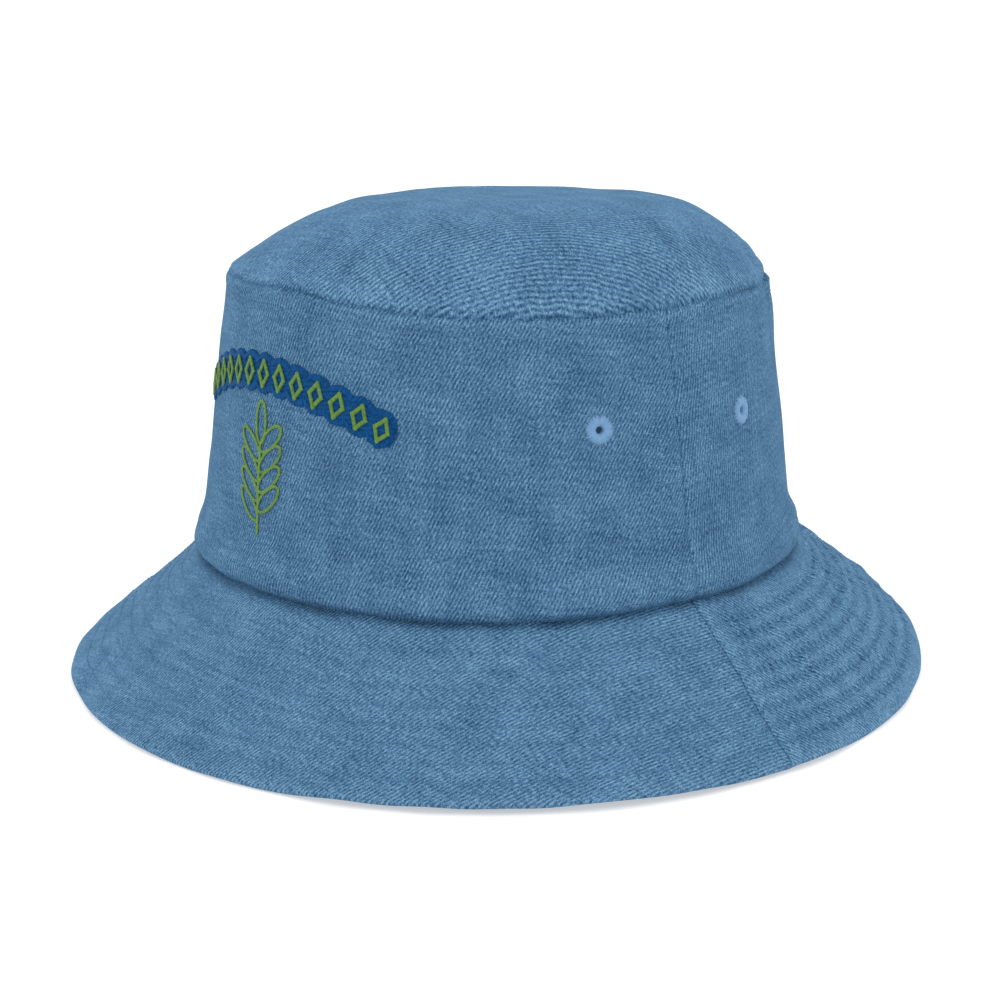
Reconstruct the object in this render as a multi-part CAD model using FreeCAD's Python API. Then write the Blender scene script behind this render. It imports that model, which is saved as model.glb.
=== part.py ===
import FreeCAD, Part

import functools
import math
import os

# Bucket hat, millimetres. +Z is up, the front faces -Y and the wearer's left is +X.
# The origin is the middle of the flat ring on which the brim's edge rests.

# Crown: an upright wall of two panels under a domed top panel. All plans are ovals.
BASE_HALF_WIDTH = 94.5
BASE_HALF_LENGTH = 97.5
TOP_HALF_WIDTH = 79.0
TOP_HALF_LENGTH = 91.5
BRIM_SEAM_Z = 40.0
CROWN_HEIGHT = 90.5
TOP_SEAM_Z = BRIM_SEAM_Z + CROWN_HEIGHT
DOME_HEIGHT = 17.4
DOME_POWER = 2.95
DOME_STEPS = 14
HEM_ROLL = 2.6
HEM_ROLL_MIDDLE = 0.07
HEM_ROLL_SPREAD = 0.08
WALL_RINGS = (-0.05, 0.02, 0.07, 0.13, 0.2, 0.28, 1.05)

# Brim: three layers that fall outwards from the crown's foot.
BRIM_SLANT = 59.0
BRIM_FALL = BRIM_SEAM_Z
BRIM_REACH = math.sqrt(BRIM_SLANT ** 2 - BRIM_FALL ** 2)
BRIM_SLOPE = BRIM_FALL / BRIM_REACH
BRIM_SPARE = 10.0
SEAM_FLANGE = 2.4

# Cloth.
DENIM = 0.9
INTERLINING = 0.5
PLY_GAP = 0.1
PANEL_GAP = 0.3
TAPE = 0.4
SWEATBAND = 1.0
SWEATBAND_HEIGHT = 34.0
TAPE_HALF_WIDTH = 7.0
TOP_TAPE_HEIGHT = 11.0

# Thread.
THREAD = 0.35
THREAD_LIFT = 0.05
TOPSTITCH_DROP = 5.5
QUILTING_ROWS = 8
QUILTING_PITCH = 6.0
QUILTING_EDGE = 7.5

# Vent eyelets, two beside each side seam.
EYELET_ANGLE = math.radians(17.0)
EYELET_HEIGHT_SHARE = 0.615
EYELET_Z = BRIM_SEAM_Z + EYELET_HEIGHT_SHARE * CROWN_HEIGHT
EYELET_ROD_HALF_LENGTH = 6.0
EYELET_RADIUS = 4.8
EYELET_HOLE_RADIUS = 1.6
EYELET_BARREL_RADIUS = 2.2
EYELET_RIM = 0.7

# Embroidery on the front: an arched band with a row of hollow lozenges, and a sprig below it.
BAND_TOP_Z = TOP_SEAM_Z - 19.0
BAND_HEIGHT = 12.0
BAND_RADIUS = 122.0
BAND_HALF_ANGLE = math.radians(24.0)
LOZENGES = 13
LOZENGE_HALF_WIDTH = 2.8
LOZENGE_HALF_HEIGHT = 4.2
LOZENGE_HOLLOW = 0.5
SPRIG_TOP_Z = TOP_SEAM_Z - 33.0
SPRIG_HEIGHT = 40.0
STEM_WIDTH = 1.6
LEAFLETS = 8
LEAFLET_FIRST = 1.4
LEAFLET_SPREAD = 1.0
LEAFLET_LENGTH = 13.0
LEAFLET_WIDTH = 5.2
LEAFLET_TILT = math.radians(50.0)
STITCH_LINE = 1.5
SATIN = 0.5
BACKING_HALF_WIDTH = 64.0
BACKING_HEIGHT = 66.0
BACKING_TOP_Z = TOP_SEAM_Z - 15.0
EMBROIDERY_LOW_Z = BRIM_SEAM_Z + 5.0

# Care label, sewn by its top edge to the sweatband at the back.
LABEL_WIDTH = 20.0
LABEL_LENGTH = 28.0
LABEL_SEWN_DROP = 2.0
LABEL_THICKNESS = 0.4
LABEL_CLEARANCE = 1.3
LABEL_EDGE_GAP = 0.4
LABEL_THREAD_BACK = 0.3

FAR = 400.0
UP = FreeCAD.Vector(0, 0, 1)


def oval(half_width, half_length, z):
    """An upright oval wire, longer from front to back."""
    ends = (FreeCAD.Vector(0, half_length, z), FreeCAD.Vector(half_width, 0, z))
    return Part.Wire(Part.Ellipse(ends[0], ends[1], FreeCAD.Vector(0, 0, z)).toShape())


def oval_column(half_width, half_length):
    """A tall solid column on an oval."""
    face = Part.Face(oval(half_width, half_length, -FAR))
    return face.extrude(UP * (2 * FAR))


def slab(low, high):
    """A box between two corners."""
    size = high - low
    return Part.makeBox(size.x, size.y, size.z, low)


def level(low_z, high_z):
    """All the space between two heights."""
    return slab(FreeCAD.Vector(-FAR, -FAR, low_z), FreeCAD.Vector(FAR, FAR, high_z))


def front_half():
    """All the space in front of the side seams."""
    return slab(FreeCAD.Vector(-FAR, -FAR, -FAR), FreeCAD.Vector(FAR, -PANEL_GAP / 2, FAR))


def back_half():
    """All the space behind the side seams."""
    return slab(FreeCAD.Vector(-FAR, PANEL_GAP / 2, -FAR), FreeCAD.Vector(FAR, FAR, FAR))


def wall_half_axes(z):
    """The crown's outer half width and half length at a height, with the rolled foot."""
    up = (z - BRIM_SEAM_Z) / CROWN_HEIGHT
    roll = HEM_ROLL * math.exp(-((up - HEM_ROLL_MIDDLE) / HEM_ROLL_SPREAD) ** 2)
    half_width = BASE_HALF_WIDTH + (TOP_HALF_WIDTH - BASE_HALF_WIDTH) * up + roll
    half_length = BASE_HALF_LENGTH + (TOP_HALF_LENGTH - BASE_HALF_LENGTH) * up + roll
    return half_width, half_length


@functools.lru_cache(None)
def wall_plug(offset):
    """A solid whose side is the crown's outer face moved out by the offset."""
    rings = []
    for up in WALL_RINGS:
        z = BRIM_SEAM_Z + up * CROWN_HEIGHT
        half_width, half_length = wall_half_axes(z)
        rings.append(oval(half_width + offset, half_length + offset, z))
    return Part.makeLoft(rings, True, True)


@functools.lru_cache(None)
def wall_band(inner, outer):
    """A closed band that follows the crown wall between two offsets."""
    return wall_plug(outer).cut(wall_plug(inner))


def wall_layer(inner, outer, low_z, high_z):
    """The part of such a band between two heights."""
    return wall_band(inner, outer).common(level(low_z, high_z))


def wall_spot(angle, z, offset):
    """A point at an offset from the crown's outer face, with the outward direction there."""
    half_width, half_length = wall_half_axes(z)
    point = FreeCAD.Vector(half_width * math.cos(angle), half_length * math.sin(angle), z)
    out = FreeCAD.Vector(half_length * math.cos(angle), half_width * math.sin(angle), 0)
    out.normalize()
    return point + out * offset, out


@functools.lru_cache(None)
def brim_plug(drop):
    """A solid whose side is the brim's upper face moved down by the drop."""
    top = oval(BASE_HALF_WIDTH, BASE_HALF_LENGTH, BRIM_SEAM_Z - drop)
    reach = BRIM_REACH + BRIM_SPARE
    foot_z = BRIM_SEAM_Z - drop - reach * BRIM_SLOPE
    foot = oval(BASE_HALF_WIDTH + reach, BASE_HALF_LENGTH + reach, foot_z)
    return Part.makeLoft([top, foot], True, True)


def brim_layer(top_drop, bottom_drop, flange):
    """One ply of the brim, with a flat flange under the crown's foot."""
    ply = brim_plug(top_drop).cut(brim_plug(bottom_drop))
    hole = oval_column(BASE_HALF_WIDTH - flange, BASE_HALF_LENGTH - flange)
    return ply.cut(hole).common(level(0, FAR))


def brim_ring(top_drop, bottom_drop, slant):
    """A thin closed ring that follows the brim at a distance from the seam."""
    out = slant * BRIM_REACH / BRIM_SLANT
    ply = brim_plug(top_drop).cut(brim_plug(bottom_drop))
    outer = oval_column(BASE_HALF_WIDTH + out + THREAD / 2, BASE_HALF_LENGTH + out + THREAD / 2)
    inner = oval_column(BASE_HALF_WIDTH + out - THREAD / 2, BASE_HALF_LENGTH + out - THREAD / 2)
    return ply.common(outer.cut(inner))


def upright(thickness):
    """The upright depth of a ply of the brim."""
    return thickness * BRIM_SLANT / BRIM_REACH


def dome_profile(radius, rise):
    """A curve from the dome's edge to its middle, in the XZ plane."""
    points = []
    for step in range(DOME_STEPS + 1):
        out = math.cos(math.pi / 2 * step / DOME_STEPS)
        z = TOP_SEAM_Z + PLY_GAP + rise * (1 - out ** DOME_POWER)
        points.append(FreeCAD.Vector(radius * out, 0, z))
    points[-1].x = 0
    curve = Part.BSplineCurve()
    curve.interpolate(points)
    return curve.toShape(), points[0], points[-1]


def crown_top():
    """The domed top panel."""
    outer, outer_edge, outer_top = dome_profile(TOP_HALF_LENGTH, DOME_HEIGHT)
    inner, inner_edge, inner_top = dome_profile(TOP_HALF_LENGTH - DENIM, DOME_HEIGHT - DENIM)
    foot = Part.makeLine(inner_edge, outer_edge)
    axis = Part.makeLine(outer_top, inner_top)
    face = Part.Face(Part.Wire(Part.__sortEdges__([outer, axis, inner, foot])))
    dome = face.revolve(FreeCAD.Vector(0, 0, 0), UP, 360)
    squeeze = FreeCAD.Matrix()
    squeeze.scale(TOP_HALF_WIDTH / TOP_HALF_LENGTH, 1, 1)
    return dome.transformGeometry(squeeze)


def eyelet_rod(angle, radius):
    """A rod along an eyelet's axis, through the wall."""
    start, out = wall_spot(angle, EYELET_Z, -EYELET_ROD_HALF_LENGTH)
    return Part.makeCylinder(radius, 2 * EYELET_ROD_HALF_LENGTH, start, out)


def eyelet_angles():
    """The four eyelets' names and their angles about the crown."""
    return {
        "eyelet_left_front": -EYELET_ANGLE,
        "eyelet_left_back": EYELET_ANGLE,
        "eyelet_right_front": math.pi + EYELET_ANGLE,
        "eyelet_right_back": math.pi - EYELET_ANGLE,
    }


def eyelet(angle):
    """A satin ring on both faces of the wall, joined through its hole."""
    rims = wall_band(-DENIM - THREAD_LIFT - EYELET_RIM, THREAD_LIFT + EYELET_RIM)
    cloth = wall_band(-DENIM - THREAD_LIFT, THREAD_LIFT)
    disc = rims.common(eyelet_rod(angle, EYELET_RADIUS))
    around_barrel = eyelet_rod(angle, 2 * EYELET_RADIUS).cut(eyelet_rod(angle, EYELET_BARREL_RADIUS))
    return disc.cut(cloth.common(around_barrel)).cut(eyelet_rod(angle, EYELET_HOLE_RADIUS))


def crown_wall():
    """Both wall panels in one band, with the eyelets' holes."""
    wall = wall_layer(-DENIM, 0, BRIM_SEAM_Z + PLY_GAP, TOP_SEAM_Z)
    for angle in eyelet_angles().values():
        wall = wall.cut(eyelet_rod(angle, EYELET_BARREL_RADIUS + THREAD_LIFT))
    return wall


def through_front(face):
    """A flat shape in the XZ plane, run forwards through the crown's front."""
    return face.extrude(FreeCAD.Vector(0, -FAR, 0))


def band_point(angle, radius):
    """A point on the arched band, in the XZ plane."""
    middle_z = BAND_TOP_Z - BAND_RADIUS
    return FreeCAD.Vector(radius * math.sin(angle), 0, middle_z + radius * math.cos(angle))


def band_face():
    """The arched band's outline with round ends."""
    low = BAND_RADIUS - BAND_HEIGHT
    middle = BAND_RADIUS - BAND_HEIGHT / 2
    cap = BAND_HALF_ANGLE + BAND_HEIGHT / 2 / middle
    top = Part.Arc(band_point(-BAND_HALF_ANGLE, BAND_RADIUS), band_point(0, BAND_RADIUS),
                   band_point(BAND_HALF_ANGLE, BAND_RADIUS))
    right = Part.Arc(band_point(BAND_HALF_ANGLE, BAND_RADIUS), band_point(cap, middle),
                     band_point(BAND_HALF_ANGLE, low))
    bottom = Part.Arc(band_point(BAND_HALF_ANGLE, low), band_point(0, low),
                      band_point(-BAND_HALF_ANGLE, low))
    left = Part.Arc(band_point(-BAND_HALF_ANGLE, low), band_point(-cap, middle),
                    band_point(-BAND_HALF_ANGLE, BAND_RADIUS))
    return Part.Face(Part.Wire([arc.toShape() for arc in (top, right, bottom, left)]))


def lozenge_face(angle):
    """One hollow four-cornered lozenge on the band's middle line."""
    middle = BAND_RADIUS - BAND_HEIGHT / 2
    faces = []
    for share in (1, LOZENGE_HOLLOW):
        rise = share * LOZENGE_HALF_HEIGHT
        turn = share * LOZENGE_HALF_WIDTH / middle
        corners = [
            band_point(angle, middle + rise),
            band_point(angle + turn, middle),
            band_point(angle, middle - rise),
            band_point(angle - turn, middle),
        ]
        faces.append(Part.Face(Part.makePolygon(corners + corners[:1])))
    return faces[0].cut(faces[1])


def leaflet_face(foot_z, tilt):
    """One oval leaflet, drawn as an outline, that grows from the stem."""
    outlines = []
    for inset in (0, STITCH_LINE):
        half_length = LEAFLET_LENGTH / 2 - inset
        half_width = LEAFLET_WIDTH / 2 - inset
        along = FreeCAD.Vector(math.sin(tilt), 0, math.cos(tilt))
        across = FreeCAD.Vector(math.cos(tilt), 0, -math.sin(tilt))
        middle = FreeCAD.Vector(0, 0, foot_z) + along * (LEAFLET_LENGTH / 2)
        ends = (middle + along * half_length, middle + across * half_width)
        outlines.append(Part.Wire(Part.Ellipse(ends[0], ends[1], middle).toShape()))
    return Part.Face(outlines[0]).cut(Part.Face(outlines[1]))


def sprig_prism():
    """The stem with leaflets on alternate sides, run forwards through the crown's front."""
    foot_z = SPRIG_TOP_Z - SPRIG_HEIGHT
    tip_z = SPRIG_TOP_Z - LEAFLET_LENGTH
    stem = slab(FreeCAD.Vector(-STEM_WIDTH / 2, -FAR, foot_z),
                FreeCAD.Vector(STEM_WIDTH / 2, 0, tip_z + STITCH_LINE))
    prism = stem.fuse(through_front(leaflet_face(tip_z, 0)))
    for index in range(LEAFLETS):
        share = (index + LEAFLET_FIRST) / (LEAFLETS + LEAFLET_SPREAD)
        z = foot_z + (tip_z - foot_z) * share
        tilt = LEAFLET_TILT if index % 2 else -LEAFLET_TILT
        prism = prism.fuse(through_front(leaflet_face(z, tilt)))
    return prism


def embroidery():
    """The arched band, the lozenges on it, the sprig and the backing behind them."""
    ground = wall_layer(THREAD_LIFT, THREAD_LIFT + SATIN, EMBROIDERY_LOW_Z, TOP_SEAM_Z)
    ground = ground.common(front_half())
    lift = 2 * THREAD_LIFT + SATIN
    raised = wall_layer(lift, lift + SATIN, EMBROIDERY_LOW_Z, TOP_SEAM_Z).common(front_half())
    lozenges = []
    for index in range(LOZENGES):
        angle = BAND_HALF_ANGLE * (2 * index / (LOZENGES - 1) - 1)
        lozenges.append(raised.common(through_front(lozenge_face(angle))))
    patch = slab(FreeCAD.Vector(-BACKING_HALF_WIDTH, -FAR, BACKING_TOP_Z - BACKING_HEIGHT),
                 FreeCAD.Vector(BACKING_HALF_WIDTH, 0, BACKING_TOP_Z))
    inside = -DENIM - PLY_GAP
    tape = wall_layer(inside - TAPE, inside, EMBROIDERY_LOW_Z, TOP_SEAM_Z)
    return {
        "embroidery_band": ground.common(through_front(band_face())),
        "embroidery_lozenges": Part.makeCompound(lozenges),
        "embroidery_sprig": ground.common(sprig_prism()),
        "embroidery_backing": tape.common(patch),
    }


def crown():
    """The crown's panels and the tapes that cover its seams inside."""
    wall = crown_wall()
    low_z = BRIM_SEAM_Z + PLY_GAP
    inside = -DENIM - PLY_GAP
    tape = wall_layer(inside - TAPE, inside, low_z, TOP_SEAM_Z - PLY_GAP)
    strip = slab(FreeCAD.Vector(0, -TAPE_HALF_WIDTH, 0),
                 FreeCAD.Vector(FAR, TAPE_HALF_WIDTH, FAR))
    other = slab(FreeCAD.Vector(-FAR, -TAPE_HALF_WIDTH, 0),
                 FreeCAD.Vector(0, TAPE_HALF_WIDTH, FAR))
    cover = inside - TAPE - PLY_GAP
    top_low_z = TOP_SEAM_Z - PLY_GAP - TOP_TAPE_HEIGHT
    return {
        "crown_top": crown_top(),
        "crown_front": wall.common(front_half()),
        "crown_back": wall.common(back_half()),
        "side_seam_tape_left": tape.common(strip),
        "side_seam_tape_right": tape.common(other),
        "crown_seam_tape": wall_layer(cover - TAPE, cover, top_low_z, TOP_SEAM_Z - PLY_GAP),
        "sweatband": wall_layer(cover - SWEATBAND, cover, low_z, low_z + SWEATBAND_HEIGHT),
        "crown_topstitch_thread": wall_layer(
            THREAD_LIFT, THREAD_LIFT + THREAD,
            TOP_SEAM_Z - TOPSTITCH_DROP - THREAD, TOP_SEAM_Z - TOPSTITCH_DROP),
    }


def brim():
    """The brim's plies, each a front and a back half, and its quilting threads."""
    plies = {"upper": DENIM, "interlining": INTERLINING, "lower": DENIM}
    parts = {}
    drop = 0.0
    for name, thickness in plies.items():
        ply = brim_layer(drop, drop + upright(thickness), SEAM_FLANGE)
        parts["brim_" + name + "_front"] = ply.common(front_half())
        parts["brim_" + name + "_back"] = ply.common(back_half())
        drop += upright(thickness + PLY_GAP)
    underside = drop - upright(PLY_GAP)
    needle = []
    bobbin = []
    lift = upright(THREAD_LIFT)
    depth = upright(THREAD)
    for row in range(QUILTING_ROWS):
        slant = BRIM_SLANT - QUILTING_EDGE - row * QUILTING_PITCH
        needle.append(brim_ring(-lift - depth, -lift, slant))
        bobbin.append(brim_ring(underside + lift, underside + lift + depth, slant))
    parts["brim_quilting_thread"] = Part.makeCompound(needle)
    parts["brim_bobbin_thread"] = Part.makeCompound(bobbin)
    return parts


def care_label():
    """The label, hanging from its sewn edge, and the thread that holds it."""
    sewn_z = BRIM_SEAM_Z + PLY_GAP + SWEATBAND_HEIGHT - LABEL_SEWN_DROP
    depth = DENIM + TAPE + SWEATBAND + 2 * PLY_GAP
    band_face_y = wall_spot(math.pi / 2, sewn_z, -depth)[0].y
    axis_y = band_face_y - LABEL_CLEARANCE
    label_top = sewn_z - LABEL_EDGE_GAP
    label_low = FreeCAD.Vector(-LABEL_WIDTH / 2, axis_y - LABEL_THICKNESS / 2, label_top - LABEL_LENGTH)
    label = slab(label_low, label_low + FreeCAD.Vector(LABEL_WIDTH, LABEL_THICKNESS, LABEL_LENGTH))
    thread_low = FreeCAD.Vector(-LABEL_WIDTH / 2, axis_y + LABEL_THREAD_BACK, sewn_z + LABEL_EDGE_GAP)
    thread = slab(thread_low, thread_low + FreeCAD.Vector(LABEL_WIDTH, THREAD, THREAD))
    print("care label axis: y", round(axis_y, 3), "z", round(sewn_z, 3))
    return {"care_label": label, "care_label_thread": thread}


def main():
    """Builds every piece and writes one file for each."""
    parts = {}
    parts.update(crown())
    parts.update(brim())
    parts.update(embroidery())
    parts.update(care_label())
    for name, angle in eyelet_angles().items():
        parts[name] = eyelet(angle)
    os.makedirs("parts", exist_ok=True)
    for name, shape in sorted(parts.items()):
        solids = shape.Solids
        closed = all(solid.isValid() and solid.isClosed() for solid in solids)
        print(name, len(solids), round(shape.Volume, 1), "closed" if closed else "OPEN")
        shape.exportStep(os.path.join("parts", name + ".step"))


main()
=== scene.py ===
import math

import bpy
import numpy as np
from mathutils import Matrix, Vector


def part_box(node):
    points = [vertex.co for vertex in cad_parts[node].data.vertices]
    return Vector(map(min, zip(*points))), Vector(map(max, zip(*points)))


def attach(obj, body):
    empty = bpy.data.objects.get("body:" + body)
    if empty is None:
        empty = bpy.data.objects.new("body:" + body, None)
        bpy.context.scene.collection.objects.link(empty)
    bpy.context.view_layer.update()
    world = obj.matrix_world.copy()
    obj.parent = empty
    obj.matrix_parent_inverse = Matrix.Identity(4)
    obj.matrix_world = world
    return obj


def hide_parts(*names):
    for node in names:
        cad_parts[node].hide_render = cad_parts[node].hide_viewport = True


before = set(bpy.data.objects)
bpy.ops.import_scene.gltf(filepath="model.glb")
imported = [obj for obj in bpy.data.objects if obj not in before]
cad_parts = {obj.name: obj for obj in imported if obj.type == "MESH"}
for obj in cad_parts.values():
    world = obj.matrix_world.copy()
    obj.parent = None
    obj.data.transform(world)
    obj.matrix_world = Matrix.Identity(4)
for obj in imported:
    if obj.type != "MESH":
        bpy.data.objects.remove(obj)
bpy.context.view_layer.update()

# Lengths are millimetres in this script and become metres when a mesh is made.
# Angles about the hat start at the wearer's left (+X) and turn towards the back (+Y).
MM = 0.001
TURN = 2 * math.pi
FRONT = -math.pi / 2
BACK = math.pi / 2
SEED = 7
LEFT_SEAM = math.radians(-2.3)
RIGHT_SEAM = math.pi
HALVES = {"front": (RIGHT_SEAM - TURN, LEFT_SEAM, FRONT), "back": (LEFT_SEAM, RIGHT_SEAM, BACK)}


def node_box(name):
    """A CAD node's lowest and highest corners, in millimetres."""
    low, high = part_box(name)
    return np.array(low) / MM, np.array(high) / MM


# The hat's main sizes. The boxes come from the frame; the slant, lift and dome spare are given.
brim_low, brim_high = node_box("brim_upper_front")
wall_low, wall_high = node_box("crown_front")
_, dome_high = node_box("crown_top")
BRIM_SLANT = 59.0
BRIM_REACH = math.sqrt(BRIM_SLANT ** 2 - wall_low[2] ** 2)
HAT_LIFT = 1.4
DOME_SPARE = 3.4
SEAM_Z = wall_low[2] + HAT_LIFT
CROWN_HEIGHT = wall_high[2] - wall_low[2]
BASE_WIDE = brim_high[0] - BRIM_REACH
BASE_LONG = -brim_low[1] - BRIM_REACH
TOP_WIDE = dome_high[0]
TOP_LONG = dome_high[1]
DOME_RISE = dome_high[2] - wall_high[2] + DOME_SPARE
DOME_POWER = (4.62, 1.10, 0.93)
DOME_LEAN = (0.30, -0.217)

# Cloth and thread.
DENIM = 0.9
PLY_GAP = 0.1
INTERLINING = 0.5
TAPE = 0.4
SWEATBAND = 1.0
STITCH = 2.7
QUILTING_ROWS = 8
QUILTING_PITCH = 6.0
QUILTING_EDGE = 7.5
QUILTING_ROOT = 96.0
QUILTING_GROWTH = 0.72
TOPSTITCH_DROP = 5.5
TOPSTITCH_RADIUS = 86.0
SEWING_WIDTH = 0.42
SEWING_HEIGHT = 0.34
THREAD_CHANGE = 0.37
SWEATBAND_HEIGHT = 34.0

# Flat cuts, width by length, and the cut areas that aren't the whole rectangle.
BRIM_CUT_AREA = 26500
INTERLINING_CUT_AREA = 21500
SEAM_TAPE_CUT = (560, 12)
SIDE_TAPE_CUT = (14, 92)

# How the worn-in hat leans away from the plain oval.
TOP_TILT = (-1.1, -2.9)
TOP_SHIFT = (0.4, 1.2)
TOP_SAG = -2.7
TOP_SAG_WAVES = ((2, -0.55, -1.67), (3, 0.98, 1.60))
TOP_SAG_REACH = 24.0
TUCK_TURN = math.radians(60)
TUCK_LENGTH = 24.0
TUCK_UP = 3.6
TUCK_IN = 2.6
KINK_TURN = math.radians(38)
FOOT_SAG = 3.0
SIDE_OF_SAG = math.radians(49)
DROOP = 0.681
DROOP_WAVES = ((1, 0.049, 0.0), (1, -0.088, BACK), (2, 0.079, BACK / 2))
DROOP_LIMIT = 0.748
DROOP_SOFTNESS = 0.012
BRIM_FLARE = 1.4
HEM_ROLL = 2.4


# ---- small maths
def waves(points, seed, length, count=20):
    """A smooth random field over points, with features of about the given length."""
    random = np.random.default_rng(SEED + seed)
    directions = random.normal(size=(count, 3))
    directions /= np.linalg.norm(directions, axis=1)[:, None]
    lengths = length * random.uniform(0.7, 1.5, count)
    phases = random.uniform(0, TURN, count)
    total = np.zeros(points.shape[:-1])
    for direction, wave, phase in zip(directions, lengths, phases):
        total += np.cos(points @ direction * TURN / wave + phase)
    return total * math.sqrt(2 / count)


def bell(x, width):
    """A smooth bump of height one and the given width."""
    return np.exp(-(x / width) ** 2)


def step(x, start, end):
    """A smooth step from 0 at start to 1 at end."""
    t = np.clip((x - start) / (end - start), 0, 1)
    return t * t * (3 - 2 * t)


def wrapped(angle):
    """An angle brought to within half a turn of zero."""
    return (angle + math.pi) % TURN - math.pi


def unit(vectors):
    """The vectors with length one."""
    return vectors / np.maximum(np.linalg.norm(vectors, axis=-1, keepdims=True), 1e-9)


def grid(first, second):
    """Two arrays that hold every pair of the values given."""
    return np.meshgrid(first, second, indexing="ij")


# ---- the hat's surfaces
def matched(*values):
    """The values as arrays of one shape."""
    return np.broadcast_arrays(*(np.asarray(value, float) for value in values))


def oval_normal(angle):
    """The level outward direction at an angle about the crown."""
    out = np.stack([np.cos(angle) * BASE_LONG, np.sin(angle) * BASE_WIDE, 0 * angle], -1)
    return unit(out)


def seam_distance(angle):
    """The distance round the crown to the nearest side seam, positive towards the back."""
    side = np.where(np.cos(angle) > 0, wrapped(angle - LEFT_SEAM), -wrapped(angle - RIGHT_SEAM))
    return side * BASE_LONG


def top_sag(angle):
    """How far the worn top seam hangs below its plane."""
    sag = TOP_SAG + 0 * angle
    for turns, cosine, sine in TOP_SAG_WAVES:
        sag = sag + cosine * np.cos(turns * angle) + sine * np.sin(turns * angle)
    return sag


def seam_tuck(angle):
    """How far, from 0 to 1, the top seam is caught up and in at one place."""
    return bell(wrapped(angle - TUCK_TURN) * BASE_LONG, TUCK_LENGTH)


def foot_sag(angle):
    """How far the brim seam hangs below its plane."""
    return -FOOT_SAG * np.cos(angle - SIDE_OF_SAG) ** 8


def kink_distance(angle):
    """The distance round the crown from the wall's kink."""
    return wrapped(angle - KINK_TURN) * BASE_LONG


def seam_jog(angle):
    """How far the top seam wanders up and down over short lengths."""
    place = np.stack([BASE_WIDE * np.cos(angle), BASE_LONG * np.sin(angle), 0 * angle], -1)
    jog = 0.24 * waves(place, 7, 18) + 0.18 * waves(place, 8, 45)
    kink = kink_distance(angle)
    return jog - 0.8 * bell(kink, 4) + 0.9 * bell(kink - 9, 5)


def wall_plain(angle, up):
    """The crown wall with no relief, at a share of its height."""
    wide = BASE_WIDE + (TOP_WIDE - BASE_WIDE) * up
    long = BASE_LONG + (TOP_LONG - BASE_LONG) * up
    lean = TOP_TILT[0] * np.cos(angle) + TOP_TILT[1] * np.sin(angle)
    x = wide * np.cos(angle) + TOP_SHIFT[0] * up
    y = long * np.sin(angle) + TOP_SHIFT[1] * up
    z = SEAM_Z + (CROWN_HEIGHT + lean) * up + seam_jog(angle) * up ** 8
    z = z + top_sag(angle) * up ** 2 + foot_sag(angle) * (1 - up)
    tuck = seam_tuck(angle)
    drop = (1 - up) * CROWN_HEIGHT
    pull = TUCK_IN * tuck * bell(drop, 7)
    x = x - pull * np.cos(angle)
    y = y - pull * np.sin(angle)
    z = z + TUCK_UP * tuck * bell(drop, 14)
    return np.stack([x, y, z], -1)


def wall_relief(angle, up, plain):
    """How far the worn wall stands out from the plain one."""
    height = up * CROWN_HEIGHT
    drop = CROWN_HEIGHT - height
    seam = seam_distance(angle)
    relief = HEM_ROLL * bell(up - 0.07, 0.07) - 2.0 * bell(height, 1.5)
    relief -= 1.0 * bell(drop, 0.7)
    relief += 0.22 * waves(plain, 1, 16) * bell(drop, 9)
    relief += 0.16 * waves(plain, 2, 7) * bell(drop, 5)
    relief += 0.22 * waves(plain, 3, 12) * bell(height - 5, 7)
    relief += 0.30 * waves(plain, 4, 62) + 0.16 * waves(plain, 5, 24)
    relief -= 0.20 * bell(drop - TOPSTITCH_DROP, 0.9)
    relief += 0.18 * bell(np.abs(seam) - 4, 3) - 0.35 * bell(seam, 0.6)
    relief += 0.16 * np.cos(TURN * height / 9 + 2 * waves(plain, 6, 30)) * bell(seam, 6)
    kink = kink_distance(angle)
    relief -= 1.1 * bell(kink - 0.55 * drop, 3.5) * bell(drop - 4, 10)
    relief += 0.6 * bell(kink - 0.55 * drop - 7, 4.5) * bell(drop - 4, 14)
    return relief


def wall(angle, up, out=0.0):
    """A point on the worn crown wall, moved out by some distance."""
    angle, up = matched(angle, up)
    plain = wall_plain(angle, up)
    relief = wall_relief(angle, up, plain)
    return plain + oval_normal(angle) * (relief + out)[..., None]


def droop(angle):
    """How steeply the brim falls, in radians."""
    fall = DROOP + 0 * angle
    for turns, size, start in DROOP_WAVES:
        fall = fall + size * np.cos(turns * (angle - start))
    return DROOP_LIMIT - DROOP_SOFTNESS * np.logaddexp(0, (DROOP_LIMIT - fall) / DROOP_SOFTNESS)


def quilting(angle, slant):
    """Where the quilting pulls: distance along a row, distance in from the edge, and strength."""
    inset = BRIM_SLANT - slant
    row = np.clip(np.round((inset - QUILTING_EDGE) / QUILTING_PITCH), 0, QUILTING_ROWS - 1)
    row_slant = BRIM_SLANT - QUILTING_EDGE - row * QUILTING_PITCH
    along = wrapped(angle) * (BASE_LONG + QUILTING_GROWTH * row_slant)
    place = np.stack([BASE_WIDE * np.cos(angle), BASE_LONG * np.sin(angle), 3 * row], -1)
    along = along + 0.7 * waves(place, 20, 30)
    last = QUILTING_EDGE + (QUILTING_ROWS - 0.5) * QUILTING_PITCH
    strength = (0.22 + 0.78 * step(np.sin(angle), -0.06, 0.10)) * step(inset, 3.5, 6)
    strength = strength * (1 - step(inset, last, last + 3))
    return along, inset, strength


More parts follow.
